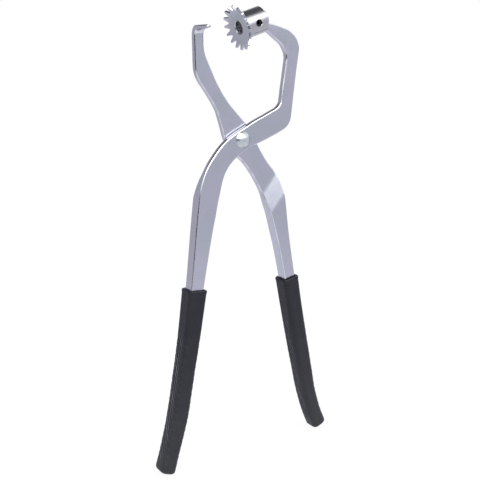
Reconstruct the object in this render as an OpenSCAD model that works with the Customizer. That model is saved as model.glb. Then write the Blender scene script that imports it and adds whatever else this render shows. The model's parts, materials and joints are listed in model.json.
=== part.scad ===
// Brake spring pliers: two lap-jointed forged levers on one rivet. The rear lever ends in a hook,
// and the front lever ends in a C-shaped jaw with a turning spur head.
// Origin on the pivot axis, at the flat back of the joint. +X right, +Y to the back, +Z to the jaws.
// The levers are drawn open, at rest.

/* [Levers] */
// Height of the pivot above the ends of the handles
handle_reach = 245; // [210:1:290]
// Distance between the ends of the handles
handle_spread = 142; // [120:1:170]
// Thickness of the handles, which is also that of the lap joint
handle_t = 10; // [8:0.25:13]
// Thickness of the handles at their ends, inside the grips
tang_t = 8.2; // [6:0.1:10]
// Height of the spur head's seat above the pivot
jaw_reach = 84.4; // [76:0.2:100]
// Radius of the levers' rounded edges
edge_r = 1.3; // [0.4:0.1:1.5]
// Gap between the two halves of the lap joint
lap_gap = 0.1; // [0.05:0.05:0.3]

/* [Rivet] */
// Diameter of the rivet's shank
rivet_d = 7; // [5:0.5:9]
// Diameter of the rivet's domed head
head_d = 11.8; // [10:0.1:14]
// Height of the rivet's domed head
head_h = 2.6; // [1.5:0.1:4]
// Width of the rivet's countersunk rear end around its shank
sink_w = 1.5; // [0.5:0.1:2]
// Clearance of the moving lever around the rivet's shank and under its head
pivot_clearance = 0.05; // [0.01:0.01:0.1]

/* [Hook] */
// Length of the hook's finger, forward of the jaw's front face
finger_len = 14.4; // [10:0.2:18]
// Thickness of the finger where it leaves the bend
finger_t = 2.7; // [2:0.1:4]
// Width of the finger's tip
finger_tip_w = 3; // [2:0.1:5]
// Thickness of the finger's tip
finger_tip_t = 2.2; // [1.2:0.1:2.6]

/* [Spur head] */
// Outside diameter of the barrel
barrel_d = 19; // [17:0.5:22]
// Length of the spur head, from the wheel's front to the barrel's rear
barrel_len = 20; // [18:0.5:23]
// Diameter of the socket in the barrel's front
socket_d = 8.9; // [8:0.1:10]
// Depth of the socket
socket_depth = 9; // [7:0.5:10]
// Diameter of the bore behind the socket, which turns on the stub
stub_bore_d = 7.8; // [6.5:0.1:7.9]
// Radial clearance of the barrel on its stub
stub_clearance = 0.05; // [0.01:0.01:0.1]
// Fall of the barrel's axis toward the hook, in degrees
barrel_tilt = 17.5; // [10:0.5:25]
// Distance of the set screw from the barrel's rear
screw_from_rear = 8.1; // [6:0.1:9]
// Diameter of the set screw
screw_d = 5; // [4:0.5:6]
// Number of teeth on the spur wheel
teeth = 16; // [12:1:20]
// Thickness of the spur wheel
wheel_t = 1.6; // [1.2:0.1:2.4]
// Diameter of the spur wheel between its teeth
root_d = 24.2; // [22:0.2:28]
// Diameter over the tips of the teeth
tip_d = 32.2; // [29:0.2:36]
// Width of the teeth's blunt tips
tooth_tip_w = 1.1; // [0.6:0.1:2]
// Forward bend of the teeth, in degrees
tooth_bend = 29; // [0:1:40]

/* [Grips] */
// Length of the left grip, along its handle
left_grip_len = 141; // [125:1:150]
// Length of the right grip, along its handle
right_grip_len = 136.5; // [125:0.5:150]
// Thickness of the grips over the narrow sides of the handles
grip_side = 2.2; // [1.2:0.1:3]
// Thickness of the grips over the faces of the handles
grip_face = 3.0; // [1.2:0.1:4]
// Thickness of the grips' closed ends
grip_end = 4; // [2.5:0.5:6]
// Radius of the grips' long edges
grip_r = 3.2; // [1:0.1:3.5]
// Clearance of the grips around the handles
grip_fit = 0.05; // [0.02:0.01:0.1]

/* [Hidden] */
$fn = 96;

// The sizes at which the outlines below are drawn
drawn_reach = 245;
drawn_spread = 142;
drawn_jaw = 84.4;
// Height of the hook's top
drawn_hook_top = 80.3;
// Heights beyond which a change of reach stretches the handles and the jaws
handle_from = -20;
jaw_from = 12;

front_y = -handle_t;
half_t = (handle_t - lap_gap) / 2;
rear_half_y = -half_t;
front_half_y = -half_t - lap_gap;
tang_in = (handle_t - tang_t) / 2;

// Stations along a lever: [left x, left z, right x, right z, thickness, taper]. The thickness is 0 for
// one half of the lap and 1 for the full handle, and the taper is 1 at the thin end of the handle.
left_handle = [
    [-74.0, -239.0, -66.5, -242.0, 1, 1.00],
    [-69.0, -223.0, -61.5, -225.5, 1, 0.90],
    [-63.0, -200.0, -54.5, -202.0, 1, 0.70],
    [-56.5, -168.0, -48.0, -169.5, 1, 0.45],
    [-51.5, -141.0, -42.5, -142.5, 1, 0.25],
    [-46.5, -107.0, -36.0, -108.0, 1, 0.00],
    [-43.0,  -80.0, -30.5,  -81.5, 1, 0.00],
    [-40.5,  -60.0, -26.5,  -63.5, 1, 0.00],
    [-39.0,  -49.0, -25.0,  -57.5, 1, 0.00],
    [-37.5,  -39.0, -24.0,  -53.5, 1, 0.00]
];
left_joint = [
    [-35.5, -30.0, -22.0, -44.5, 0.5, 0],
    [-32.0, -21.0, -19.5, -35.5, 0, 0],
    [-28.0, -14.5, -17.0, -27.0, 0, 0],
    [-24.0,  -9.5, -13.5, -20.5, 0, 0],
    [-19.0,  -4.0,  -9.5, -16.0, 0, 0],
    [-13.0,   1.0,  -4.5, -12.0, 0, 0],
    [ -5.5,   5.5,   1.0,  -9.0, 0, 0],
    [  2.0,   9.0,   7.0,  -6.0, 0, 0],
    [ 10.0,  13.0,  15.0,  -3.25, 0, 0]
];
c_jaw = [
    [18.5, 16.5, 24.0,  0.0, 0, 0],
    [25.5, 19.5, 33.0,  3.5, 0, 0],
    [30.0, 21.5, 38.5,  6.5, 0, 0],
    [33.0, 24.5, 42.0, 11.0, 0, 0],
    [34.0, 29.0, 43.5, 18.0, 0, 0],
    [35.0, 35.5, 45.0, 28.5, 0, 0],
    [36.5, 44.0, 47.0, 42.0, 0, 0],
    [38.0, 53.0, 49.0, 54.5, 0, 0],
    [38.5, 57.0, 50.0, 60.0, 0, 0],
    [38.0, 60.5, 50.5, 64.5, 0, 0],
    [36.0, 64.5, 49.0, 69.5, 0, 0],
    [33.5, 67.5, 46.5, 73.0, 0, 0],
    [30.0, 70.0, 42.0, 76.5, 0, 0],
    [26.0, 73.0, 36.5, 78.5, 0, 0],
    [22.5, 75.5, 30.0, 80.5, 0, 0],
    [18.5, 77.5, 23.5, 82.0, 0, 0],
    [14.5, 79.5, 17.0, 83.5, 0, 0]
];
right_handle = [
    [66.0, -241.0, 73.5, -238.0, 1, 1.00],
    [61.0, -228.5, 68.5, -225.5, 1, 0.90],
    [55.5, -210.0, 63.5, -208.0, 1, 0.75],
    [51.5, -191.0, 60.0, -189.0, 1, 0.60],
    [46.0, -164.0, 55.0, -162.0, 1, 0.40],
    [40.5, -134.0, 49.5, -132.0, 1, 0.15],
    [36.5, -111.5, 46.0, -109.5, 1, 0.00],
    [32.0,  -89.0, 42.5,  -87.5, 1, 0.00],
    [28.0,  -73.0, 40.0,  -70.0, 1, 0.00],
    [26.0,  -65.0, 38.5,  -56.5, 1, 0.00],
    [24.5,  -59.0, 37.0,  -45.0, 1, 0.00]
];
right_joint = [
    [ 21.5, -50.0, 34.5, -35.0, 0.5, 0],
    [ 18.5, -41.0, 31.0, -26.5, 0, 0],
    [ 14.0, -32.5, 27.0, -21.5, 0, 0],
    [  9.0, -24.5, 23.0, -16.5, 0, 0],
    [  2.5, -16.5, 18.5,  -9.5, 0, 0],
    [ -4.0, -10.5, 15.0,  -3.0, 0, 0],
    [ -9.5,  -4.5, 11.5,   4.0, 0, 0],
    [-12.5,   1.5,  7.0,  10.0, 0, 0],
    [-14.0,   7.0,  2.0,  15.5, 0, 0]
];
hook_jaw = [
    [-16.0, 14.0,  -3.0, 21.0, 0, 0],
    [-18.5, 21.5,  -7.5, 26.0, 0, 0],
    [-22.5, 28.5, -12.0, 32.0, 0, 0],
    [-27.5, 36.0, -16.0, 38.5, 0, 0],
    [-32.0, 42.5, -19.5, 45.0, 0, 0],
    [-34.5, 48.5, -22.0, 50.5, 0, 0],
    [-35.0, 55.0, -24.75, 56.5, 0, 0],
    [-35.0, 60.0, -26.75, 61.5, 0, 0],
    [-35.0, 65.0, -27.5, 66.0, 0, 0],
    [-35.0, 69.0, -27.5, 69.0, 0, 0],
    [-35.0, 71.5, -27.5, 71.5, 0, 0]
];

// Handle points follow the reach and the spread, and jaw points follow the height of the seat
function low(z) = max(0, handle_from - z) / (drawn_reach + handle_from);
function at_x(x, z, side) = x + side * (handle_spread - drawn_spread) / 2 * low(z);
function at_z(z) = z < handle_from ? z - (handle_reach - drawn_reach) * low(z)
    : z > jaw_from ? jaw_from + (z - jaw_from) * (jaw_reach - jaw_from) / (drawn_jaw - jaw_from)
    : z;
function placed(list, side) = [for (s = list)
    [at_x(s[0], s[1], side), at_z(s[1]), at_x(s[2], s[3], side), at_z(s[3]), s[4], s[5]]];

// A smooth curve through the stations, with straight ramps in thickness
function curve(a, b, c, d, t) = (2 * b + (c - a) * t + (2 * a - 5 * b + 4 * c - d) * t * t
    + (3 * b - a - 3 * c + d) * t * t * t) / 2;
function smooth(p, n) = [
    for (i = [0:len(p) - 2]) for (j = [0:n - 1])
        let (t = j / n,
             q = curve(p[max(i - 1, 0)], p[i], p[i + 1], p[min(i + 2, len(p) - 1)], t),
             s = p[i] * (1 - t) + p[i + 1] * t)
        [q[0], q[1], q[2], q[3], s[4], s[5]],
    p[len(p) - 1]
];
steps_per_station = 3;
spur_stations = smooth(placed(concat(left_handle, left_joint, c_jaw), -1), steps_per_station);
hook_stations = smooth(placed(concat(right_handle, right_joint, hook_jaw), 1), steps_per_station);

// The four corners of a lever at a station: left front, right front, right back, left back. The spur
// lever has the front half of the lap, and the hook lever has the rear half.
function corners(s, in_front) =
    let (whole = s[4],
         yf = (in_front ? front_y : front_y * whole + rear_half_y * (1 - whole)) + tang_in * s[5],
         yb = (in_front ? front_half_y * (1 - whole) : 0) - tang_in * s[5])
    [[s[0], yf, s[1]], [s[2], yf, s[3]], [s[2], yb, s[3]], [s[0], yb, s[1]]];

// A ring of points round four corners, with its own corners rounded to radius r
corner_steps = 3;
function ring(c, r) =
    let (u = min(0.49, r / norm(c[1] - c[0])), v = min(0.49, r / norm(c[3] - c[0])))
    [for (k = [0:3]) for (i = [0:corner_steps])
        let (a = 180 + 90 * k + 90 * i / corner_steps,
             x = (k == 1 || k == 2 ? 1 - u : u) + u * cos(a),
             y = (k >= 2 ? 1 - v : v) + v * sin(a))
        (1 - y) * ((1 - x) * c[0] + x * c[1]) + y * ((1 - x) * c[3] + x * c[2])];

// A closed skin over a row of rings
module skin(rings) {
    n = len(rings[0]);
    m = len(rings);
    polyhedron(
        points = [for (r = rings) each r],
        faces = concat(
            [[for (i = [0:n - 1]) i]],
            [[for (i = [n - 1:-1:0]) (m - 1) * n + i]],
            [for (k = [0:m - 2]) for (i = [0:n - 1]) let (j = (i + 1) % n)
                each [[k * n + i, (k + 1) * n + i, (k + 1) * n + j],
                      [k * n + i, (k + 1) * n + j, k * n + j]]]),
        convexity = 10);
}

// A round hole or pin along the pivot axis, from the flat back forward
module pivot_cylinder(d, h) {
    rotate([90, 0, 0])
        cylinder(d = d, h = h);
}

// Spur head's own frame: origin at the centre of the wheel's front, +Z out of the bore's mouth.
// The seat is the centre of the barrel's rear, in the middle of the front half of the lap.
seat_x = 18.1;
seat_y = (front_y + front_half_y) / 2;
module at_head() {
    translate([seat_x, seat_y, jaw_reach])
        rotate([0, -90 - barrel_tilt, 0])
            translate([0, 0, barrel_len])
                children();
}

// The stub that the barrel turns on, with its shoulder and its groove for the set screw
seat_gap = 0.15;
shoulder_z = -barrel_len - seat_gap;
shoulder_step = 3.2;
shoulder_r = barrel_d / 2 - shoulder_step;
shoulder_h = 2.2;
stub_r = stub_bore_d / 2 - stub_clearance;
stub_set_back = 0.5;
stub_end = -socket_depth - stub_set_back;
screw_z = screw_from_rear - barrel_len;
nose_d = screw_d / 2;
nose_gap = 0.15;
groove_depth = 1;
groove_r = stub_r - groove_depth;
groove_play = 1.2;
groove_w = nose_d + groove_play;
module stub() {
    translate([0, 0, shoulder_z - shoulder_h])
        cylinder(r = shoulder_r, h = shoulder_h);
    difference() {
        translate([0, 0, shoulder_z - shoulder_h / 2])
            cylinder(r = stub_r, h = stub_end - shoulder_z + shoulder_h / 2);
        translate([0, 0, screw_z - groove_w / 2])
            difference() {
                cylinder(d = stub_bore_d, h = groove_w);
                cylinder(r = groove_r, h = groove_w);
            }
    }
}

module spur_lever() {
    jaw_cut = 2 * barrel_d;
    color([0.68, 0.69, 0.73]) {
        difference() {
            skin([for (s = spur_stations) ring(corners(s, true), edge_r)]);
            translate([0, handle_t / 2, 0])
                pivot_cylinder(rivet_d + 2 * pivot_clearance, 2 * handle_t);
            // The jaw stops behind the barrel
            at_head()
                translate([-jaw_cut / 2, -jaw_cut / 2, shoulder_z])
                    cube(jaw_cut);
        }
        at_head()
            stub();
    }
}

// The hook's finger bends forward from the top of the jaw
bend_in = 4.5;
bend_out = 7.5;
bend_top = at_z(drawn_hook_top);
finger_x = (hook_jaw[len(hook_jaw) - 1][0] + hook_jaw[len(hook_jaw) - 1][2]) / 2;
finger_w = hook_jaw[len(hook_jaw) - 1][2] - hook_jaw[len(hook_jaw) - 1][0];
function bend_corners(a) =
    let (y_in = rear_half_y - bend_in * (1 - cos(a)),
         z_in = bend_top - finger_t - bend_in * (1 - sin(a)),
         y_out = -half_t * (1 - cos(a)),
         z_out = bend_top - bend_out * (1 - sin(a)),
         w = finger_w / 2)
    [[finger_x - w, y_in, z_in], [finger_x + w, y_in, z_in],
     [finger_x + w, y_out, z_out], [finger_x - w, y_out, z_out]];

// A station of the straight finger: f is 0 at the bend and 1 at the tip, which is rounded
tip_from = 0.84;
tip_least = 0.17;
function finger_corners(f) =
    let (y = rear_half_y - bend_in - (finger_len - bend_in) * f,
         end = f > tip_from ? max(tip_least, sqrt(max(0, 1 - pow((f - tip_from) / (1 - tip_from), 2)))) : 1,
         w = (finger_w * (1 - f) + finger_tip_w * f) / 2 * end,
         t_whole = finger_t * (1 - f) + finger_tip_t * f,
         t = t_whole / 2 * (1 + end) / 2,
         z = bend_top - t_whole / 2)
    [[finger_x - w, y, z - t], [finger_x + w, y, z - t],
     [finger_x + w, y, z + t], [finger_x - w, y, z + t]];

module hook_lever() {
    tip_steps = 6;
    finger_runs = concat([0.2, 0.4, 0.6], [for (i = [0:tip_steps])
        tip_from + (1 - tip_from) * sin(90 * i / tip_steps)]);
    color([0.68, 0.69, 0.73])
        difference() {
            skin(concat(
                [for (s = hook_stations) ring(corners(s, false), edge_r)],
                [for (a = [0:15:90]) ring(bend_corners(a), edge_r)],
                [for (f = finger_runs) ring(finger_corners(f), edge_r * 0.8)]));
            translate([0, handle_t / 2, 0])
                pivot_cylinder(rivet_d, 2 * handle_t);
            countersink();
        }
}

// The rivet's rear end fills a countersink in the flat back of the joint
module countersink() {
    rotate([90, 0, 0])
        cylinder(d1 = rivet_d + 2 * sink_w, d2 = rivet_d, h = sink_w);
}

module pivot_rivet() {
    dome_r = (head_d * head_d / 4 + head_h * head_h) / (2 * head_h);
    under_head = front_y - pivot_clearance;
    color([0.75, 0.76, 0.79]) {
        countersink();
        pivot_cylinder(rivet_d, handle_t + pivot_clearance + head_h / 2);
        intersection() {
            translate([0, under_head + dome_r - head_h, 0])
                sphere(r = dome_r);
            translate([0, under_head, 0])
                pivot_cylinder(head_d, head_h);
        }
    }
}

// Distance along a lever's middle line from its lower end to each station
function middle(s) = [(s[0] + s[2]) / 2, 0, (s[1] + s[3]) / 2];
function distances(st) = [for (i = 0, d = 0; i < len(st);
    d = d + (i + 1 < len(st) ? norm(middle(st[i + 1]) - middle(st[i])) : 0), i = i + 1) d];
function station_at(st, run, d) =
    let (k = max([for (i = [0:len(st) - 2]) if (run[i] <= d) i]),
         t = (d - run[k]) / (run[k + 1] - run[k]))
    st[k] * (1 - t) + st[k + 1] * t;

// Four corners moved out by gx on the narrow sides and by gy on the faces
function grown(c, gx, gy) =
    let (u = (c[1] - c[0]) / norm(c[1] - c[0]) * gx, v = [0, gy, 0])
    [c[0] - u - v, c[1] + u - v, c[2] + u + v, c[3] - u + v];

// A vinyl sleeve on a handle: closed at its lower end and open at its rim, which has a small lip
lip_h = 2.5;
lip_out = 0.15;
tang_gap = 0.2;
module grip(st, in_front, length) {
    run = distances(st);
    rim = length - grip_end;
    covered = [for (i = [0:len(st) - 1]) if (run[i] < rim - 2 * lip_h) st[i]];
    base = corners(st[0], in_front);
    out = (middle(st[0]) - middle(st[1])) / run[1];
    down = out * grip_end;
    function moved(c, v) = [for (p = c) p + v];
    function sleeve(s, g, r) = ring(grown(corners(s, in_front), grip_side + g, grip_face + g), r);
    function inside(s, g) = ring(grown(corners(s, in_front), g, g), edge_r + g);
    function below_rim(d) = station_at(st, run, rim - d);
    skin(concat(
        // Rounded end: share of its height and step in from the sides
        [for (e = [[1, 2.4], [0.93, 1.4], [0.75, 0.6], [0.45, 0.1], [0.2, 0]])
            ring(grown(moved(base, down * e[0]), grip_side - e[1], grip_face - e[1]),
                 grip_r - e[1] / 2)],
        [for (s = covered) sleeve(s, 0, grip_r)],
        [for (e = [[lip_h, 0], [lip_h * 0.7, lip_out], [lip_out, lip_out], [0, -lip_out]])
            sleeve(below_rim(e[0]), e[1], grip_r)],
        [for (e = [[0, grip_side / 2], [grip_side / 2, grip_fit]]) inside(below_rim(e[0]), e[1])],
        [for (i = [len(covered) - 1:-1:0]) inside(covered[i], grip_fit)],
        [ring(grown(moved(base, out * tang_gap), grip_fit, grip_fit), edge_r + grip_fit)]));
}

module left_grip() {
    color([0.16, 0.16, 0.18])
        grip(spur_stations, true, left_grip_len);
}

module right_grip() {
    color([0.16, 0.16, 0.18])
        grip(hook_stations, false, right_grip_len);
}

// Barrel: a cylinder bored from both ends, with a spigot that is staked in the wheel
barrel_r = barrel_d / 2;
barrel_chamfer = 0.6;
spigot_wall = 1.9;
spigot_r = socket_d / 2 + spigot_wall;
mouth_chamfer = 0.6;
bore_overrun = 1;
module spur_barrel() {
    front = -wheel_t;
    color([0.72, 0.73, 0.76])
        at_head()
            difference() {
                union() {
                    translate([0, 0, -barrel_len])
                        cylinder(r1 = barrel_r - barrel_chamfer, r2 = barrel_r, h = barrel_chamfer);
                    translate([0, 0, -barrel_len + barrel_chamfer])
                        cylinder(r = barrel_r, h = front + barrel_len - 2 * barrel_chamfer);
                    translate([0, 0, front - barrel_chamfer])
                        cylinder(r1 = barrel_r, r2 = barrel_r - barrel_chamfer, h = barrel_chamfer);
                    translate([0, 0, front - barrel_chamfer])
                        cylinder(r = spigot_r, h = wheel_t + barrel_chamfer);
                }
                translate([0, 0, -barrel_len - bore_overrun])
                    cylinder(d = stub_bore_d, h = barrel_len);
                translate([0, 0, -socket_depth])
                    cylinder(d = socket_d, h = 2 * socket_depth);
                translate([0, 0, -mouth_chamfer])
                    cylinder(r1 = socket_d / 2, r2 = socket_d / 2 + 2 * mouth_chamfer,
                             h = 2 * mouth_chamfer);
                screw_hole();
            }
}

// The set screw's own frame: origin on the barrel's axis, +Z out of the front of the barrel. At rest
// the spur head stands with the screw turned a little below the levers' middle plane.
screw_turn = -4;
module at_screw() {
    translate([0, 0, screw_z])
        rotate([90, 0, screw_turn])
            children();
}

screw_chamfer = 0.4;
module screw_hole() {
    at_screw()
        cylinder(d = screw_d, h = barrel_d);
    at_screw()
        translate([0, 0, barrel_r - screw_chamfer])
            cylinder(r1 = screw_d / 2, r2 = screw_d / 2 + 2 * screw_chamfer, h = 2 * screw_chamfer);
}

// Set screw: its nose stands in the stub's groove, and its six-sided socket faces out
screw_sunk = 1.5;
key_share = 0.55;
key_depth = 2;
module set_screw() {
    top = barrel_r - screw_sunk;
    bottom = stub_bore_d / 2;
    color([0.1, 0.1, 0.11])
        at_head()
            at_screw()
                difference() {
                    union() {
                        translate([0, 0, bottom])
                            cylinder(d = screw_d, h = top - bottom);
                        translate([0, 0, groove_r + nose_gap])
                            cylinder(d = nose_d, h = bottom - groove_r);
                    }
                    translate([0, 0, top - key_depth])
                        cylinder(d = screw_d * key_share, h = 2 * key_depth, $fn = 6);
                }
}

// Spur wheel: a stamped star washer whose teeth are bent forward at their roots
tooth_overlap = 1;
root_gap = 0.5;
tooth_turn = 16;
module tooth() {
    base = PI * root_d / teeth - root_gap;
    reach = (tip_d - root_d) / 2 / cos(tooth_bend);
    translate([root_d / 2, 0, -wheel_t])
        rotate([0, -tooth_bend, 0])
            linear_extrude(height = wheel_t)
                polygon([[-tooth_overlap, -base / 2], [0, -base / 2], [reach, -tooth_tip_w / 2],
                         [reach, tooth_tip_w / 2], [0, base / 2], [-tooth_overlap, base / 2]]);
}

module spur_wheel() {
    color([0.70, 0.71, 0.75])
        at_head()
            difference() {
                union() {
                    translate([0, 0, -wheel_t])
                        cylinder(d = root_d, h = wheel_t);
                    for (i = [0:teeth - 1])
                        rotate([0, 0, tooth_turn + i * 360 / teeth])
                            tooth();
                }
                translate([0, 0, -2 * wheel_t])
                    cylinder(r = spigot_r, h = 4 * wheel_t);
            }
}

spur_lever();
hook_lever();
pivot_rivet();
left_grip();
right_grip();
spur_barrel();
spur_wheel();
set_screw();
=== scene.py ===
"""Brake spring pliers: finishes, grips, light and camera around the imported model.

Lengths are in metres, apart from the sizes of the grips, which are in millimetres."""

import json
import math

import bpy
from mathutils import Matrix, Vector


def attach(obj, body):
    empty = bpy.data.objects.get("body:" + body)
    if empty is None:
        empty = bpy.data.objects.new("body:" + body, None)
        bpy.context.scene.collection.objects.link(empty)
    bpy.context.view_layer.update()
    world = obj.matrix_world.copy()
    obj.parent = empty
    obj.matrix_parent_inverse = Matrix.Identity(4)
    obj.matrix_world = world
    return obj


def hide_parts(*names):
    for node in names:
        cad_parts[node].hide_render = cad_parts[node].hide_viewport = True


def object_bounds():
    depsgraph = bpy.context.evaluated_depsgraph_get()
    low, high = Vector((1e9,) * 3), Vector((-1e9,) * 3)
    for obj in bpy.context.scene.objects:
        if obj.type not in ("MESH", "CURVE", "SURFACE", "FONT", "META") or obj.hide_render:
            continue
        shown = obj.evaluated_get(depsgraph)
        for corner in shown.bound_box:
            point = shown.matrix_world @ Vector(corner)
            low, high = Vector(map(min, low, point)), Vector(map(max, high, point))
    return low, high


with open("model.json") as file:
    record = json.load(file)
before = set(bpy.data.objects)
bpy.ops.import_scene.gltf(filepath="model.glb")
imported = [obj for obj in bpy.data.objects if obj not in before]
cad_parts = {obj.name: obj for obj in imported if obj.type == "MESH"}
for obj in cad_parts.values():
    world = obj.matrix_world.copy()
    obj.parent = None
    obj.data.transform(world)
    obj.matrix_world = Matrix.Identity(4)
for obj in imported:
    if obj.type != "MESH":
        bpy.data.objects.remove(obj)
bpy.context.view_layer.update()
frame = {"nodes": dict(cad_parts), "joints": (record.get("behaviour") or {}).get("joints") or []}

MM = 0.001


# Camera

CAMERA_AT = (-0.30976, -0.50149, 0.06098)
CAMERA_YAW = math.radians(31.86)
CAMERA_PITCH = math.radians(13.11)
CAMERA_ROLL = math.radians(1.0)
CAMERA_LENS = 60.16
CAMERA_SENSOR = 36
CAMERA_NEAR = 0.01


def make_camera():
    """The photograph's view: turned to the right by the yaw, down by the pitch."""
    forward = Vector((math.sin(CAMERA_YAW) * math.cos(CAMERA_PITCH),
                      math.cos(CAMERA_YAW) * math.cos(CAMERA_PITCH),
                      -math.sin(CAMERA_PITCH)))
    level = Vector((math.cos(CAMERA_YAW), -math.sin(CAMERA_YAW), 0))
    down = forward.cross(level)
    right = level * math.cos(CAMERA_ROLL) + down * math.sin(CAMERA_ROLL)
    up = level * math.sin(CAMERA_ROLL) - down * math.cos(CAMERA_ROLL)
    turn = Matrix((right, up, -forward)).transposed().to_4x4()
    data = bpy.data.cameras.new("camera")
    data.lens = CAMERA_LENS
    data.sensor_width = CAMERA_SENSOR
    data.clip_start = CAMERA_NEAR
    camera = bpy.data.objects.new("camera", data)
    camera.matrix_world = Matrix.Translation(CAMERA_AT) @ turn
    bpy.context.scene.collection.objects.link(camera)
    bpy.context.scene.camera = camera


# Shader helpers

class Tree:
    """A short way to add nodes to a node tree: inputs are values or other nodes' outputs."""

    def __init__(self, tree):
        self.tree = tree
        tree.nodes.clear()

    def feed(self, target, value):
        if isinstance(value, bpy.types.NodeSocket):
            self.tree.links.new(value, target)
        else:
            target.default_value = value

    def add(self, kind, inputs=(), **settings):
        node = self.tree.nodes.new(kind)
        for name, value in settings.items():
            setattr(node, name, value)
        for socket, value in dict(inputs).items():
            self.feed(node.inputs[socket], value)
        return node

    def math(self, operation, a, b):
        return self.add("ShaderNodeMath", {0: a, 1: b}, operation=operation).outputs[0]

    def times(self, result, *others):
        for value in others:
            result = self.math("MULTIPLY", result, value)
        return result

    def plus(self, result, *others):
        for value in others:
            result = self.math("ADD", result, value)
        return result

    def rest(self, share):
        """1 less the share."""
        return self.math("SUBTRACT", 1, share)

    def either(self, share, value, other):
        """The value where the share is 1 and the other where it is 0."""
        return self.plus(self.times(share, value), self.times(self.rest(share), other))

    def vector_math(self, operation, a, b=(0, 0, 0)):
        return self.add("ShaderNodeVectorMath", {0: a, 1: b}, operation=operation).outputs

    def split(self, vector):
        return self.add("ShaderNodeSeparateXYZ", {"Vector": vector}).outputs

    def noise(self, where, scale, detail, roughness=0.5):
        node = self.add("ShaderNodeTexNoise", {"Vector": where, "Scale": scale, "Detail": detail,
                                               "Roughness": roughness})
        return node.outputs["Fac"]

    def spread(self, value, span, to=(0, 1)):
        """The value moved from the range span into the range to, with soft ends."""
        inputs = {"Value": value, "From Min": span[0], "From Max": span[1],
                  "To Min": to[0], "To Max": to[1]}
        node = self.add("ShaderNodeMapRange", inputs, interpolation_type="SMOOTHSTEP")
        return node.outputs["Result"]

    def patches(self, where, scale, detail, roughness=0.5, span=(0.3, 0.7), to=(0, 1)):
        """Noise moved from the range span into the range to."""
        return self.spread(self.noise(where, scale, detail, roughness), span, to)

    def mix(self, factor, a, b):
        """Colour a where the factor is 0 and b where it is 1."""
        node = self.add("ShaderNodeMix", data_type="RGBA")
        colors = [socket for socket in node.inputs if socket.type == "RGBA"]
        for target, value in zip([node.inputs[0]] + colors, (factor, a, b)):
            self.feed(target, value)
        return next(socket for socket in node.outputs if socket.type == "RGBA")


def new_material(name):
    material = bpy.data.materials.new(name)
    material.use_nodes = True
    return material, Tree(material.node_tree)


def finish_material(tree, color, roughness, height, bump_distance, metallic=0.0, **own):
    """Ends a material in one Principled shader, with the height map as bump."""
    bump = tree.add("ShaderNodeBump", {"Strength": 1.0, "Distance": bump_distance,
                                       "Height": height})
    shader = tree.add("ShaderNodeBsdfPrincipled", {"Base Color": color, "Roughness": roughness,
                                                   "Metallic": metallic,
                                                   "Normal": bump.outputs["Normal"], **own})
    tree.add("ShaderNodeOutputMaterial", {"Surface": shader.outputs["BSDF"]})


def object_place(tree):
    return tree.add("ShaderNodeTexCoord").outputs["Object"]


# An edge is sharp where the bevelled normal and the face's own agree less than this
EDGE_AGREES = (0.985, 0.88)
BEVEL_SAMPLES = 6


def sharp_edges(tree, radius, share):
    """The share along sharp edges, to the given radius, and 0 on the faces between them."""
    bevel = tree.add("ShaderNodeBevel", {"Radius": radius}, samples=BEVEL_SAMPLES).outputs["Normal"]
    flat = tree.add("ShaderNodeNewGeometry").outputs["Normal"]
    same = tree.vector_math("DOT_PRODUCT", bevel, flat)["Value"]
    return tree.times(tree.spread(same, EDGE_AGREES), share)


# Materials. The levers are cut from flat bar that lies across Y: their faces look along Y, and
# their narrow sides and rounded edges don't.

STEEL_LILAC = (0.404, 0.405, 0.452, 1)
STEEL_GREEN = (0.379, 0.399, 0.430, 1)
STEEL_BRIGHT = (0.60, 0.60, 0.61, 1)
STEEL_DULL = (0.25, 0.25, 0.265, 1)
STEEL_TURNED = (0.385, 0.380, 0.390, 1)
STEEL_TURNED_DULL = (0.35, 0.352, 0.362, 1)
STEEL_BORED = (0.60, 0.61, 0.63, 1)
STEEL_POLISHED = (0.50, 0.525, 0.525, 1)
STEEL_POLISHED_DULL = (0.43, 0.475, 0.47, 1)
SCREW_BLACK = (0.010, 0.010, 0.013, 1)
SCREW_GREY = (0.028, 0.027, 0.029, 1)
SCREW_RUBBED = (0.12, 0.12, 0.13, 1)
VINYL_DARK = (0.0142, 0.0138, 0.0215, 1)
VINYL_LIGHT = (0.0185, 0.0186, 0.0238, 1)
VINYL_SCUFFED = (0.045, 0.045, 0.05, 1)
VINYL_PAINTED_LIGHT = (0.038, 0.039, 0.043, 1)
VINYL_WEAR_AND_HIGHLIGHT = (0.155, 0.158, 0.192, 1)
VINYL_SHINE = 0.2

# How deep each material's bump is
PLATE_BUMP = 0.00005
TURNED_BUMP = 0.000008
STAMPED_BUMP = 0.00003
SCREW_BUMP = 0.00002
VINYL_BUMP = 0.00004

# Where a lever's surface is narrow side and where it is sheared, by the square of its normal's Y.
# Where it is rounded edge, by a product that is 1 halfway between face and side.
NARROW_SQUARE = (0.02, 0.3)
SHEARED_SQUARE = (0.3, 0.95)
ROUNDED_PRODUCT = (0.35, 0.8)
# How much rougher the narrow sides are, and what the bump is made of
NARROW_ROUGHER = 0.12
FORGED_SHARE = 0.8
PITS_SHARE = 0.12
SHEAR_SHARE = 0.55

# The fine grain's share of the bump: on turned steel, on the stamped wheel, and for each of the
# two grains in vinyl
TURNED_GRAIN_SHARE = 0.5
STAMPED_GRAIN_SHARE = 0.3
VINYL_GRAIN_SHARE = 0.5

# The turned pieces: how much their roughness varies, the rings' share of the bump and their pitch,
# and the rougher bore
TURNED_VARIES = 0.07
RINGS_SHARE = 0.25
BARREL_RINGS = 0.35 * MM
BARREL_SMOOTHEST = 0.19
RIVET_RINGS = 0.5 * MM
RIVET_SMOOTHEST = 0.22
BORE_RADIUS = 4.5 * MM
BORE_BORDER = 0.2 * MM
BORE_ROUGHER = 0.15
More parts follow.
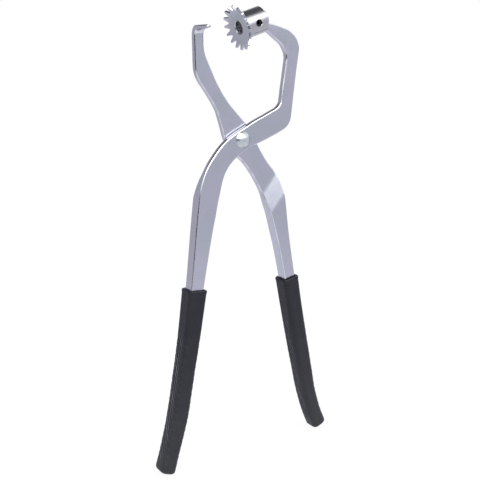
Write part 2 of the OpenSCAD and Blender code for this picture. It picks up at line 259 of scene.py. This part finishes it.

# Painted light: the vinyl is painted paler towards the grips' closed ends, for the floor's light on
# them, over this range of Z
PAINTED_LIGHT_UP = (-0.238, -0.12)
PAINTED_LIGHT_SHARE = 0.85

# The grips' mesh attribute that is 1 on the crests of the pressed pattern, where the vinyl gets
# wear and a painted highlight
CREST = "crest"


def plated_steel():
    """Zinc plate on a forged bar: faint lilac and green clouds, fine pits, sheared narrow sides and
    edges polished by use."""
    material, tree = new_material("plated_steel")
    coordinates = tree.add("ShaderNodeTexCoord").outputs
    place = coordinates["Object"]
    facing = tree.split(coordinates["Normal"])["Y"]
    square = tree.times(facing, facing)
    rounded = tree.spread(tree.times(square, 4, tree.rest(square)), ROUNDED_PRODUCT)
    narrow = tree.spread(square, NARROW_SQUARE, (1, 0))
    sheared = tree.spread(square, SHEARED_SQUARE, (1, 0))
    clouds = tree.patches(place, scale=55, detail=3, roughness=0.55, span=(0.4, 0.6))
    color = tree.mix(clouds, STEEL_LILAC, STEEL_GREEN)
    stains = tree.patches(place, scale=240, detail=5, roughness=0.65, span=(0.58, 0.8),
                          to=(0, 0.4))
    color = tree.mix(stains, color, STEEL_DULL)
    uneven = tree.patches(place, scale=160, detail=3, span=(0.35, 0.6), to=(0.3, 1))
    color = tree.mix(tree.times(rounded, uneven), color, STEEL_BRIGHT)
    rough = tree.plus(tree.patches(place, scale=420, detail=4, roughness=0.6, to=(0.13, 0.22)),
                      tree.times(narrow, NARROW_ROUGHER))
    forged = tree.noise(place, scale=130, detail=3)
    pits = tree.noise(place, scale=1800, detail=3, roughness=0.6)
    shear = tree.noise(place, scale=950, detail=4, roughness=0.7)
    height = tree.plus(tree.times(forged, FORGED_SHARE), tree.times(pits, PITS_SHARE),
                       tree.times(shear, sheared, SHEAR_SHARE))
    finish_material(tree, color, rough, height, PLATE_BUMP, metallic=1.0)
    return material


def turned_steel(name, axis_to_z, ring_pitch, bright, dull, smoothest, bore_radius=0.0):
    """Turned and plated steel: fine rings round the axis, and a rougher and lighter bore."""
    material, tree = new_material(name)
    place = object_place(tree)
    on_axis = tree.add("ShaderNodeMapping", {"Vector": place, "Rotation": axis_to_z.to_euler(),
                                             "Location": axis_to_z.to_translation()}).outputs[0]
    rings = tree.math("SINE", tree.times(tree.split(on_axis)["Z"], 2 * math.pi / ring_pitch), 0)
    clouds = tree.patches(place, scale=260, detail=4, roughness=0.6, span=(0.4, 0.62))
    color = tree.mix(clouds, bright, dull)
    color = tree.mix(sharp_edges(tree, radius=0.3 * MM, share=0.7), color, STEEL_BRIGHT)
    rough = tree.patches(place, scale=900, detail=3, to=(smoothest, smoothest + TURNED_VARIES))
    if bore_radius:
        level = tree.vector_math("MULTIPLY", on_axis, (1, 1, 0))["Vector"]
        radius = tree.vector_math("LENGTH", level)["Value"]
        bored = tree.spread(radius, (bore_radius, bore_radius + BORE_BORDER), (1, 0))
        color = tree.mix(bored, color, STEEL_BORED)
        rough = tree.plus(rough, tree.times(bored, BORE_ROUGHER))
    grain = tree.noise(place, scale=2200, detail=2)
    height = tree.plus(tree.times(rings, RINGS_SHARE), tree.times(grain, TURNED_GRAIN_SHARE))
    finish_material(tree, color, rough, height, TURNED_BUMP, metallic=1.0)
    return material


def stamped_steel():
    """The stamped spur wheel: plated, with dull stains and bright edges."""
    material, tree = new_material("stamped_steel")
    place = object_place(tree)
    clouds = tree.patches(place, scale=180, detail=4, roughness=0.6, span=(0.4, 0.62))
    color = tree.mix(clouds, STEEL_LILAC, STEEL_GREEN)
    stains = tree.patches(place, scale=600, detail=5, roughness=0.65, span=(0.52, 0.75),
                          to=(0, 0.5))
    color = tree.mix(stains, color, STEEL_DULL)
    color = tree.mix(sharp_edges(tree, radius=0.3 * MM, share=0.6), color, STEEL_BRIGHT)
    rough = tree.patches(place, scale=900, detail=4, roughness=0.6, to=(0.18, 0.3))
    height = tree.plus(tree.noise(place, scale=500, detail=3),
                       tree.times(tree.noise(place, scale=2600, detail=2), STAMPED_GRAIN_SHARE))
    finish_material(tree, color, rough, height, STAMPED_BUMP, metallic=1.0)
    return material


def black_steel():
    """Black oxide on a small screw, with its edges polished bright by wear."""
    material, tree = new_material("black_steel")
    place = object_place(tree)
    clouds = tree.noise(place, scale=900, detail=4, roughness=0.6)
    color = tree.mix(clouds, SCREW_BLACK, SCREW_GREY)
    color = tree.mix(sharp_edges(tree, radius=0.2 * MM, share=0.6), color, SCREW_RUBBED)
    rough = tree.spread(clouds, (0.3, 0.7), (0.38, 0.55))
    grain = tree.noise(place, scale=2600, detail=2)
    finish_material(tree, color, rough, grain, SCREW_BUMP, metallic=0.9)
    return material


def vinyl():
    """Charcoal vinyl: fine grain, cloudy colour, scuffs, closed ends painted paler as painted light
    from the floor, and grey wear with a painted highlight on the crests of the pressed pattern."""
    material, tree = new_material("vinyl")
    place = object_place(tree)
    clouds = tree.patches(place, scale=90, detail=5, roughness=0.6, span=(0.35, 0.65))
    color = tree.mix(clouds, VINYL_DARK, VINYL_LIGHT)
    scuffs = tree.patches(place, scale=520, detail=6, roughness=0.75, span=(0.62, 0.8),
                          to=(0, 0.3))
    color = tree.mix(scuffs, color, VINYL_SCUFFED)
    # Painted light: paler towards the closed ends, standing in for the floor's light
    painted_light = tree.times(tree.spread(tree.split(place)["Z"], PAINTED_LIGHT_UP, (PAINTED_LIGHT_SHARE, 0)),
                       tree.patches(place, scale=70, detail=3, to=(0.7, 1)))
    color = tree.mix(painted_light, color, VINYL_PAINTED_LIGHT)
    # Wear and a painted highlight: the ribs' crests are painted paler grey
    crest_wear_and_highlight = tree.times(tree.add("ShaderNodeAttribute", attribute_name=CREST).outputs["Fac"],
                      tree.patches(place, scale=130, detail=3, span=(0.35, 0.55), to=(0.5, 1)))
    color = tree.mix(crest_wear_and_highlight, color, VINYL_WEAR_AND_HIGHLIGHT)
    rough = tree.patches(place, scale=300, detail=5, roughness=0.6, to=(0.50, 0.64))
    grain = tree.plus(tree.times(tree.noise(place, scale=700, detail=2), VINYL_GRAIN_SHARE),
                      tree.times(tree.noise(place, scale=3000, detail=2), VINYL_GRAIN_SHARE))
    finish_material(tree, color, rough, grain, VINYL_BUMP, **{"Specular IOR Level": VINYL_SHINE})
    return material


# Smooth shading for the nodes that are kept as they are

SMOOTH_LIMIT = math.radians(32)
JOIN_WITHIN = 0.002 * MM


def smooth_by_angle():
    """A modifier that joins the facets' corners and shades edges under the limit smooth."""
    group = bpy.data.node_groups.new("smooth_by_angle", "GeometryNodeTree")
    for way in ("INPUT", "OUTPUT"):
        group.interface.new_socket("Geometry", in_out=way, socket_type="NodeSocketGeometry")
    tree = Tree(group)
    entry = tree.add("NodeGroupInput")
    merged = tree.add("GeometryNodeMergeByDistance", {"Geometry": entry.outputs[0],
                                                      "Distance": JOIN_WITHIN})
    faces = tree.add("GeometryNodeSetShadeSmooth", {"Geometry": merged.outputs[0],
                                                    "Shade Smooth": True}, domain="FACE")
    angle = tree.add("GeometryNodeInputMeshEdgeAngle").outputs["Unsigned Angle"]
    gentle = tree.math("LESS_THAN", angle, SMOOTH_LIMIT)
    edges = tree.add("GeometryNodeSetShadeSmooth", {"Geometry": faces.outputs[0],
                                                    "Shade Smooth": gentle}, domain="EDGE")
    tree.add("NodeGroupOutput", {0: edges.outputs[0]})
    return group


def dress(node, material, smoothing):
    """Gives a CAD node its finish and smooth shading. Its shape and place stay."""
    piece = frame["nodes"][node]
    normals = piece.data.attributes.get("custom_normal")
    if normals:
        piece.data.attributes.remove(normals)
    piece.data.materials.clear()
    piece.data.materials.append(material)
    piece.modifiers.new("smooth", "NODES").node_group = smoothing
    piece.modifiers.new("even_normals", "WEIGHTED_NORMAL").keep_sharp = True


# Grips, in mm. The stations of the handles inside them are as in the part's source: the bar's left
# x and z, its right x and z, and how far it is tapered in thickness.

LEFT_HANDLE = [
    (-74.0, -239.0, -66.5, -242.0, 1.00), (-69.0, -223.0, -61.5, -225.5, 0.90),
    (-63.0, -200.0, -54.5, -202.0, 0.70), (-56.5, -168.0, -48.0, -169.5, 0.45),
    (-51.5, -141.0, -42.5, -142.5, 0.25), (-46.5, -107.0, -36.0, -108.0, 0.00),
    (-43.0, -80.0, -30.5, -81.5, 0.00), (-40.5, -60.0, -26.5, -63.5, 0.00),
]
RIGHT_HANDLE = [
    (66.0, -241.0, 73.5, -238.0, 1.00), (61.0, -228.5, 68.5, -225.5, 0.90),
    (55.5, -210.0, 63.5, -208.0, 0.75), (51.5, -191.0, 60.0, -189.0, 0.60),
    (46.0, -164.0, 55.0, -162.0, 0.40), (40.5, -134.0, 49.5, -132.0, 0.15),
    (36.5, -111.5, 46.0, -109.5, 0.00), (32.0, -89.0, 42.5, -87.5, 0.00),
    (28.0, -73.0, 40.0, -70.0, 0.00),
]
HANDLE_THICKNESS = 10.0
TANG_IN = 0.9
BAR_RADIUS = 1.3

# Lengths over all, walls on the narrow sides, the faces and the closed end, corners, and the gap
# inside
LEFT_GRIP_LENGTH = 141.0
RIGHT_GRIP_LENGTH = 136.5
GRIP_SIDE = 2.2
GRIP_FACE = 3.0
GRIP_END = 4.0
GRIP_RADIUS = 3.7
GRIP_FIT = 0.05
# How much of the closed end's wall is straight before it rounds
END_STRAIGHT = 0.2

# The lip at the open end: it comes out over a part of its height and has a rounded rim. The mouth
# then narrows to the bar: how far from the rim, and the gap to the bar there.
LIP_HEIGHT = 2.5
LIP_OUT = 0.15
LIP_RISE = 1.6
RIM_ROUND = 0.5
MOUTH = [(0.0, GRIP_SIDE / 2), (0.15, GRIP_SIDE / 4), (0.6, GRIP_FIT)]
LINING_FROM_RIM = 1.0

# The pressed pattern on the narrow sides: slanting grooves that waver, with ribs that carry wear
# and a painted highlight around the middle of the side. The reach of grooves and ribs from their
# middles, and the rib's shift, are shares of the pitch.
PATTERN_PITCH = 5.4
PATTERN_DEPTH = 0.5
PATTERN_SLANT = -1.4
PATTERN_WAVE = 0.8
WAVE_ALONG = 0.9
WAVE_ACROSS = 1.1
PATTERN_FROM_END = 9.0
PATTERN_FROM_RIM = 34.0
PATTERN_FADE = 5.0
GROOVE_REACH = 0.34
RIB_BEFORE = 0.12
RIB_REACH = 0.3
WEAR_AND_HIGHLIGHT_AT = 0.3
WEAR_AND_HIGHLIGHT_REACH = 5.5
# A surface counts as narrow side from where its normal leans this far sideways, over this range
SIDEWAYS_FROM = 0.3
SIDEWAYS_OVER = 0.4

# Fineness of the mesh
STATION_STEPS = 12
END_STEPS = 12
LIP_STEPS = 8
RIM_STEPS = 6
RING_STEP = 0.45
LINING_STEP = 3.0
CORNER_POINTS = 6
FACE_POINTS = 6
SIDE_POINTS = 18
# The largest share of a side that one corner takes up
CORNER_MOST = 0.49


def catmull(a, b, c, d, t):
    return (2 * b + (c - a) * t + (2 * a - 5 * b + 4 * c - d) * t * t
            + (3 * b - a - 3 * c + d) * t * t * t) / 2


def middle(station):
    """X and z of the bar's middle at a station."""
    return (station[0] + station[2]) / 2, (station[1] + station[3]) / 2


def smooth_stations(rows):
    """Stations along a smooth curve through the rows, each with its distance from the end."""
    curve = []
    for i in range(len(rows) - 1):
        four = [rows[max(i - 1, 0)], rows[i], rows[i + 1], rows[min(i + 2, len(rows) - 1)]]
        for j in range(STATION_STEPS):
            t = j / STATION_STEPS
            corners = [catmull(*[row[k] for row in four], t) for k in range(4)]
            curve.append(corners + [four[1][4] * (1 - t) + four[2][4] * t])
    curve.append(list(rows[-1]))
    run = 0.0
    stations = [(run, curve[0])]
    for before, here in zip(curve, curve[1:]):
        run += (Vector(middle(here)) - Vector(middle(before))).length
        stations.append((run, here))
    return stations


def station_at(stations, distance):
    for (near, a), (far, b) in zip(stations, stations[1:]):
        if distance <= far:
            t = (distance - near) / (far - near)
            return [p * (1 - t) + q * t for p, q in zip(a, b)]
    return stations[-1][1]


def bar_corners(station):
    """Left front, right front, right back and left back corner of the bar at a station."""
    left_x, left_z, right_x, right_z, taper = station
    front, back = -HANDLE_THICKNESS + TANG_IN * taper, -TANG_IN * taper
    return [Vector((left_x, front, left_z)), Vector((right_x, front, right_z)),
            Vector((right_x, back, right_z)), Vector((left_x, back, left_z))]


def grown(c, side, face):
    """The four corners moved outwards: by side across the narrow sides and by face across the
    faces."""
    across = (c[1] - c[0]).normalized() * side
    deep = Vector((0, face, 0))
    return [c[0] - across - deep, c[1] + across - deep, c[2] + across + deep, c[3] - across + deep]


def outline(width, depth, radius):
    """Points round a rounded rectangle, in shares of its width and depth, each with its normal."""
    u, v = min(CORNER_MOST, radius / width), min(CORNER_MOST, radius / depth)
    centres = [(u, v), (1 - u, v), (1 - u, 1 - v), (u, 1 - v)]
    points = []
    for k, (x, y) in enumerate(centres):
        for i in range(CORNER_POINTS + 1):
            a = math.pi * (1 + k / 2 + i / CORNER_POINTS / 2)
            nx, ny = math.cos(a), math.sin(a)
            points.append((x + u * nx, y + v * ny, nx, ny))
        next_x, next_y = centres[(k + 1) % 4]
        count = SIDE_POINTS if k in (1, 3) else FACE_POINTS
        for i in range(1, count):
            t = i / count
            points.append((x + (next_x - x) * t + u * nx, y + (next_y - y) * t + v * ny,
                           nx, ny))
    return points


def soft_step(x):
    x = max(0.0, min(1.0, x))
    return x * x * (3 - 2 * x)


def groove(turn):
    """1 in the middle of a groove and 0 on the ribs between them."""
    return soft_step(1 - abs(turn % 1 - 0.5) / GROOVE_REACH)


def rib(turn):
    """1 on a rib's crest, which lies nearer to one of its grooves, and 0 in the grooves."""
    return soft_step(1 - (0.5 - abs((turn + RIB_BEFORE) % 1 - 0.5)) / RIB_REACH)


def relief(along, across, sideways, length):
    """The pattern at a place along the grip and across its narrow side: how far it is sunk, and the
    share of wear and painted highlight, 1 on the crests of its ribs. Sideways is 1 on that side and
    0 on the grip's faces."""
    fade = (soft_step((along - PATTERN_FROM_END) / PATTERN_FADE)
            * soft_step((length - PATTERN_FROM_RIM - along) / PATTERN_FADE)
            * soft_step((sideways - SIDEWAYS_FROM) / SIDEWAYS_OVER))
    wave = PATTERN_WAVE * math.sin(along * WAVE_ALONG) * math.cos(across * WAVE_ACROSS)
    turn = (along + PATTERN_SLANT * across + wave) / PATTERN_PITCH
    # Wear and a painted highlight on the crests, strongest around the middle of the side
    wear_and_highlight = soft_step(1 - abs(across - WEAR_AND_HIGHLIGHT_AT) / WEAR_AND_HIGHLIGHT_REACH)
    return PATTERN_DEPTH * fade * groove(turn), fade * wear_and_highlight * rib(turn)


def ring(corners, radius, along=None, length=0.0):
    """A ring of points round four corners, each with its share of crest. The pattern is on the
    narrow sides if along is given."""
    c0, c1, c2, c3 = corners
    width, depth = (c1 - c0).length, (c3 - c0).length
    right = (c1 - c0).normalized()
    points = []
    for x, y, nx, ny in outline(width, depth, radius):
        p = (c0 * (1 - x) + c1 * x) * (1 - y) + (c3 * (1 - x) + c2 * x) * y
        crest = 0.0
        if along is not None:
            sunk, crest = relief(along, (y - 0.5) * depth, abs(nx), length)
            p = p - (right * nx + Vector((0, ny, 0))) * sunk
        points.append((p, crest))
    return points


def outer_ring(bar, out=0.0, **pattern):
    return ring(grown(bar, GRIP_SIDE + out, GRIP_FACE + out), GRIP_RADIUS, **pattern)


def inner_ring(bar, gap):
    return ring(grown(bar, gap, gap), BAR_RADIUS + gap)


def quarter_turn(step, steps):
    return math.pi / 2 * step / steps


def grip_rings(rows, length):
    """Rings from the closed end over the outside to the rim, and back along the inside."""
    stations = smooth_stations(rows)
    end_bar = bar_corners(rows[0])
    (x, z), (next_x, next_z) = middle(stations[0][1]), middle(stations[1][1])
    down = Vector((x - next_x, 0, z - next_z)).normalized() * GRIP_END

    def bar_at(distance):
        return bar_corners(station_at(stations, distance))

    rings = []
    for i in range(END_STEPS, -1, -1):
        a = quarter_turn(i, END_STEPS)
        inset = GRIP_RADIUS * (1 - math.cos(a))
        drop = down * (END_STRAIGHT + (1 - END_STRAIGHT) * math.sin(a))
        rings.append(ring(grown([p + drop for p in end_bar], GRIP_SIDE - inset, GRIP_FACE - inset),
                          GRIP_RADIUS - inset / 2))
    rim = length - GRIP_END
    body_end = rim - LIP_HEIGHT
    count = round(body_end / RING_STEP)
    for i in range(count + 1):
        d = body_end * i / count
        rings.append(outer_ring(bar_at(d), along=d + GRIP_END, length=length))
    for i in range(1, LIP_STEPS + 1):
        d = body_end + (LIP_HEIGHT - RIM_ROUND) * i / LIP_STEPS
        rings.append(outer_ring(bar_at(d), LIP_OUT * soft_step(i / LIP_STEPS * LIP_RISE)))
    for i in range(1, RIM_STEPS + 1):
        a = quarter_turn(i, RIM_STEPS)
        d = rim - RIM_ROUND + RIM_ROUND * math.sin(a)
        rings.append(outer_ring(bar_at(d), LIP_OUT - RIM_ROUND * (1 - math.cos(a))))
    for back, gap in MOUTH:
        rings.append(inner_ring(bar_at(rim - back), gap))
    lining_end = rim - LINING_FROM_RIM
    count = round(lining_end / LINING_STEP)
    for i in range(count - 1, -1, -1):
        rings.append(inner_ring(bar_at(lining_end * i / count), GRIP_FIT))
    return rings


def make_grip(name, rows, length):
    """A vinyl sleeve: rounded closed end, pressed pattern, and an open rim with a small lip."""
    rings = grip_rings(rows, length)
    n = len(rings[0])
    vertices = [p * MM for r in rings for p, crest in r]
    faces = [[k * n + i, k * n + (i + 1) % n, (k + 1) * n + (i + 1) % n, (k + 1) * n + i]
             for k in range(len(rings) - 1) for i in range(n)]
    faces.append([n - 1 - i for i in range(n)])
    faces.append([(len(rings) - 1) * n + i for i in range(n)])
    mesh = bpy.data.meshes.new(name)
    mesh.from_pydata(vertices, [], faces)
    mesh.polygons.foreach_set("use_smooth", [True] * len(mesh.polygons))
    crests = mesh.attributes.new(CREST, "FLOAT", "POINT")
    crests.data.foreach_set("value", [crest for r in rings for p, crest in r])
    mesh.update()
    piece = bpy.data.objects.new(name, mesh)
    bpy.context.scene.collection.objects.link(piece)
    return piece


def make_grips(material):
    for name, node, body, rows, length in (
            ("left_grip_sleeve", "left_grip", "spur_side", LEFT_HANDLE, LEFT_GRIP_LENGTH),
            ("right_grip_sleeve", "right_grip", "hook_side", RIGHT_HANDLE, RIGHT_GRIP_LENGTH)):
        piece = make_grip(name, rows, length)
        piece.data.materials.append(material)
        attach(piece, body)
        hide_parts(node)


# Floor, light and background

WHITE = (1, 1, 1, 1)
ROOM_TINT = (0.985, 0.985, 1.11, 1)

# What the steel mirrors: the room at the horizon in front and behind, the dark room above, the
# panel in front and its bright core, and how much of the panel there is at the right side
FRONT_LEVEL = 0.96
BACK_LEVEL = 0.80
DARK_LEVEL = 0.12
PANEL_LEVEL = 2.6
CORE_LEVEL = 4.6
SIDE_PANEL_SHARE = 0.5

# Where these lie in the direction that the steel mirrors: up along Z, right along X, front against
# Y, and the lean, which is front less a part of right
PANEL_LEAN = 0.3
PANEL_OVER_LEAN = (0.15, 0.6)
PANEL_UP = (0.02, 0.4)
CORE_OVER_LEAN = (0.4, 0.78)
CORE_UP = (0.3, 0.6)
SIDE_PANEL_RIGHT = (0.3, 0.6)
SIDE_PANEL_UP = (0.05, 0.3)
FRONT_HALF = (-0.2, 0.4)
ROOM_DARKENS_UP = (0.26, 0.72)

# A dark flag stands to the left, over the far floor and just above the horizon
FLAG_TOWARD = (-0.883, -0.469, 0)
FLAG_SHARE = 0.98
FLAG_EDGE = (0.78, 0.88)
FLAG_STARTS_AWAY = (0.8, 1.7)
FLAG_ENDS_UP = (0.07, 0.2)

# The mirrored floor: its level near the object, in front and behind, and over which distance it
# comes to the room's level
FLOOR_FRONT_NEAR = 1.17
FLOOR_FRONT_AWAY = (0.2, 1.0)
FLOOR_BACK_NEAR = 1.2
FLOOR_BACK_AWAY = (0.3, 1.1)
FLOOR_BEHIND = (-0.3, 0.3)

# What the camera sees of the floor: mostly an even glow, and a little of the shaded colour
FLOOR_SIZE = 12.0
FLOOR_GLOW = 1.06
FLOOR_GLOW_SHARE = 0.86
FLOOR_COLOR = (0.82, 0.82, 0.83, 1)

# What lights the matt surfaces: an even room, a little brighter in front
MATT_BACK_LEVEL = 0.65
MATT_FRONT_MORE = 0.35

LAMP_AT = (-0.9, -1.6, 1.3)
LAMP_TARGET = (0, 0, -0.05)
LAMP_SIZE = (1.4, 1.0)
LAMP_WATTS = 12


def toward_flag(tree, direction):
    """1 towards the dark flag and 0 elsewhere."""
    return tree.spread(tree.vector_math("DOT_PRODUCT", direction, FLAG_TOWARD)["Value"], FLAG_EDGE)


def ray_kinds(tree):
    """Two shares: 1 for rays that the camera sees, directly or through glass, and 1 for mirrored
    rays."""
    path = tree.add("ShaderNodeLightPath").outputs
    seen = tree.math("MAXIMUM", path["Is Camera Ray"], path["Is Transmission Ray"])
    return seen, path["Is Glossy Ray"]


def make_floor():
    """A plain floor. The steel mirrors it bright near the object and behind it, and dark far to the
    left."""
    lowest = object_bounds()[0].z
    mesh = bpy.data.meshes.new("floor")
    h = FLOOR_SIZE
    mesh.from_pydata([(-h, -h, lowest), (h, -h, lowest), (h, h, lowest), (-h, h, lowest)], [],
                     [(0, 1, 2, 3)])
    floor = bpy.data.objects.new("floor", mesh)
    bpy.context.scene.collection.objects.link(floor)
    material, tree = new_material("floor")
    place = object_place(tree)
    away = tree.vector_math("LENGTH", place)["Value"]
    side = tree.vector_math("NORMALIZE", place)["Vector"]
    behind = tree.spread(tree.split(side)["Y"], FLOOR_BEHIND)
    level = tree.either(behind, tree.spread(away, FLOOR_BACK_AWAY, (FLOOR_BACK_NEAR, BACK_LEVEL)),
                        tree.spread(away, FLOOR_FRONT_AWAY, (FLOOR_FRONT_NEAR, FRONT_LEVEL)))
    flag = tree.times(toward_flag(tree, side), tree.spread(away, FLAG_STARTS_AWAY, (0, FLAG_SHARE)))
    level = tree.times(level, tree.rest(flag))
    seen, mirrored = ray_kinds(tree)
    strength = tree.plus(tree.times(mirrored, level), tree.times(seen, FLOOR_GLOW))
    glow = tree.add("ShaderNodeEmission", {"Color": tree.mix(mirrored, WHITE, ROOM_TINT),
                                           "Strength": strength})
    plain = tree.add("ShaderNodeBsdfDiffuse", {"Color": FLOOR_COLOR})
    share = tree.math("MAXIMUM", tree.times(seen, FLOOR_GLOW_SHARE), mirrored)
    both = tree.add("ShaderNodeMixShader", {0: share, 1: plain.outputs[0], 2: glow.outputs[0]})
    tree.add("ShaderNodeOutputMaterial", {"Surface": both.outputs[0]})
    mesh.materials.append(material)


def make_world():
    """White for the camera. The steel mirrors a bright panel in front, a dark flag at the left and
    a darker room above."""
    world = bpy.data.worlds.new("studio")
    world.use_nodes = True
    bpy.context.scene.world = world
    tree = Tree(world.node_tree)
    where = tree.add("ShaderNodeTexCoord").outputs["Generated"]
    split = tree.split(where)
    right, up = split["X"], split["Z"]
    front = tree.times(split["Y"], -1)
    lean = tree.math("SUBTRACT", front, tree.times(right, PANEL_LEAN))
    panel = tree.times(tree.spread(up, PANEL_UP), tree.spread(lean, PANEL_OVER_LEAN))
    beside = tree.times(tree.spread(up, SIDE_PANEL_UP),
                        tree.spread(right, SIDE_PANEL_RIGHT, (0, SIDE_PANEL_SHARE)))
    panel = tree.math("MAXIMUM", panel, beside)
    core = tree.times(tree.spread(up, CORE_UP), tree.spread(lean, CORE_OVER_LEAN))
    ahead = tree.spread(front, FRONT_HALF)
    horizon = tree.plus(tree.times(ahead, FRONT_LEVEL - BACK_LEVEL), BACK_LEVEL)
    room = tree.plus(tree.times(tree.spread(up, ROOM_DARKENS_UP, (1, 0)),
                                tree.math("SUBTRACT", horizon, DARK_LEVEL)), DARK_LEVEL)
    level = tree.plus(tree.either(panel, PANEL_LEVEL, room), tree.times(core, CORE_LEVEL))
    flag = tree.times(toward_flag(tree, where), tree.spread(up, FLAG_ENDS_UP, (FLAG_SHARE, 0)))
    level = tree.times(level, tree.rest(flag))
    even = tree.plus(tree.times(ahead, MATT_FRONT_MORE), MATT_BACK_LEVEL)
    seen, mirrored = ray_kinds(tree)
    level = tree.either(mirrored, level, even)
    level = tree.plus(seen, tree.times(tree.rest(seen), level))
    tint = tree.mix(tree.times(mirrored, tree.rest(panel)), WHITE, ROOM_TINT)
    background = tree.add("ShaderNodeBackground", {"Color": tint, "Strength": level})
    tree.add("ShaderNodeOutputWorld", {"Surface": background.outputs[0]})


def make_lamp():
    """A soft key lamp at the upper left in front, which the steel doesn't mirror."""
    data = bpy.data.lights.new("key", "AREA")
    data.shape = "RECTANGLE"
    data.size, data.size_y = LAMP_SIZE
    data.energy = LAMP_WATTS
    lamp = bpy.data.objects.new("key", data)
    lamp.location = LAMP_AT
    lamp.rotation_euler = (Vector(LAMP_TARGET) - lamp.location).to_track_quat("-Z", "Y").to_euler()
    lamp.visible_glossy = False
    bpy.context.scene.collection.objects.link(lamp)


# Build

def frame_to_axis(joint):
    """Turns the model's frame so that the joint's axis is along Z through the origin."""
    axis = Vector(joint["axis"]).normalized()
    turn = axis.rotation_difference(Vector((0, 0, 1))).to_matrix().to_4x4()
    return turn @ Matrix.Translation(-Vector(joint["pos_m"]))


def dress_nodes():
    axes = {joint["name"]: frame_to_axis(joint) for joint in frame["joints"]}
    plated = plated_steel()
    turned = turned_steel("turned_steel", axes["spur_spin"], BARREL_RINGS, STEEL_TURNED,
                          STEEL_TURNED_DULL, BARREL_SMOOTHEST, BORE_RADIUS)
    polished = turned_steel("polished_steel", axes["jaw_pivot"], RIVET_RINGS, STEEL_POLISHED,
                            STEEL_POLISHED_DULL, RIVET_SMOOTHEST)
    smoothing = smooth_by_angle()
    for node, material in (("spur_lever", plated), ("hook_lever", plated),
                           ("pivot_rivet", polished), ("spur_barrel", turned),
                           ("spur_wheel", stamped_steel()), ("set_screw", black_steel())):
        dress(node, material, smoothing)


bpy.context.scene.view_settings.view_transform = "Standard"
make_camera()
dress_nodes()
make_grips(vinyl())
make_floor()
make_world()
make_lamp()
